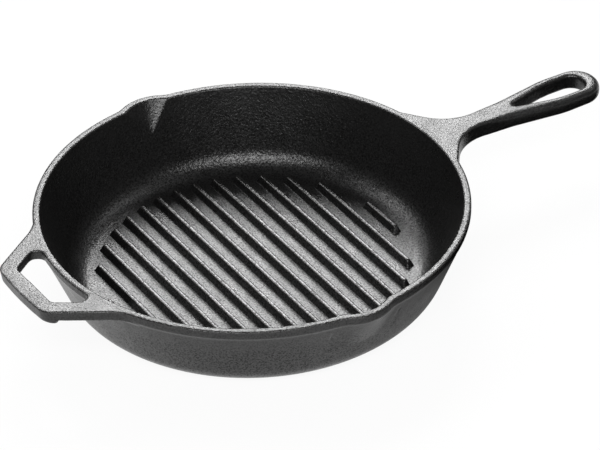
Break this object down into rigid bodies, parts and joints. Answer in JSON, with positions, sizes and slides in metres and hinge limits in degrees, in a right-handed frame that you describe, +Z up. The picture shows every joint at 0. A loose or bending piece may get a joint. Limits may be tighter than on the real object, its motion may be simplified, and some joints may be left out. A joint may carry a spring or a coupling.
{
  "type": "grill pan",
  "caption": "Round cast iron grill pan with raised parallel ribs, a pour spout on either side, a long handle with a teardrop hanging hole and a short looped grip.",
  "frame": {"origin": "centre of the flat underside, on the axis of the bowl", "axes": "+X along the long handle, +Y to one pour spout, +Z up out of the bowl"},
  "size_m": [0.4087, 0.269, 0.0528],
  "materials": {
    "bowl_iron": "seasoned, satin, fine cast grain",
    "rib_iron": "seasoned, satin, fine cast grain",
    "handle_iron": "seasoned, satin, fine cast grain"
  },
  "bodies": {
    "root": {"pan_floor": "bowl_iron", "side_wall": "bowl_iron", "rim_handle_side": "bowl_iron", "rim_grip_side": "bowl_iron", "pour_spout_front": "bowl_iron", "pour_spout_back": "bowl_iron", "grill_rib_01": "rib_iron", "grill_rib_02": "rib_iron", "grill_rib_03": "rib_iron", "grill_rib_04": "rib_iron", "grill_rib_05": "rib_iron", "grill_rib_06": "rib_iron", "grill_rib_07": "rib_iron", "grill_rib_08": "rib_iron", "grill_rib_09": "rib_iron", "grill_rib_10": "rib_iron", "grill_rib_11": "rib_iron", "grill_rib_12": "rib_iron", "grill_rib_13": "rib_iron", "grill_rib_14": "rib_iron", "grill_rib_15": "rib_iron", "handle_web": "handle_iron", "handle_shank": "handle_iron", "handle_loop": "handle_iron", "grip_bar": "handle_iron", "grip_arm_front": "handle_iron", "grip_arm_back": "handle_iron"}
  },
  "joints": []
}
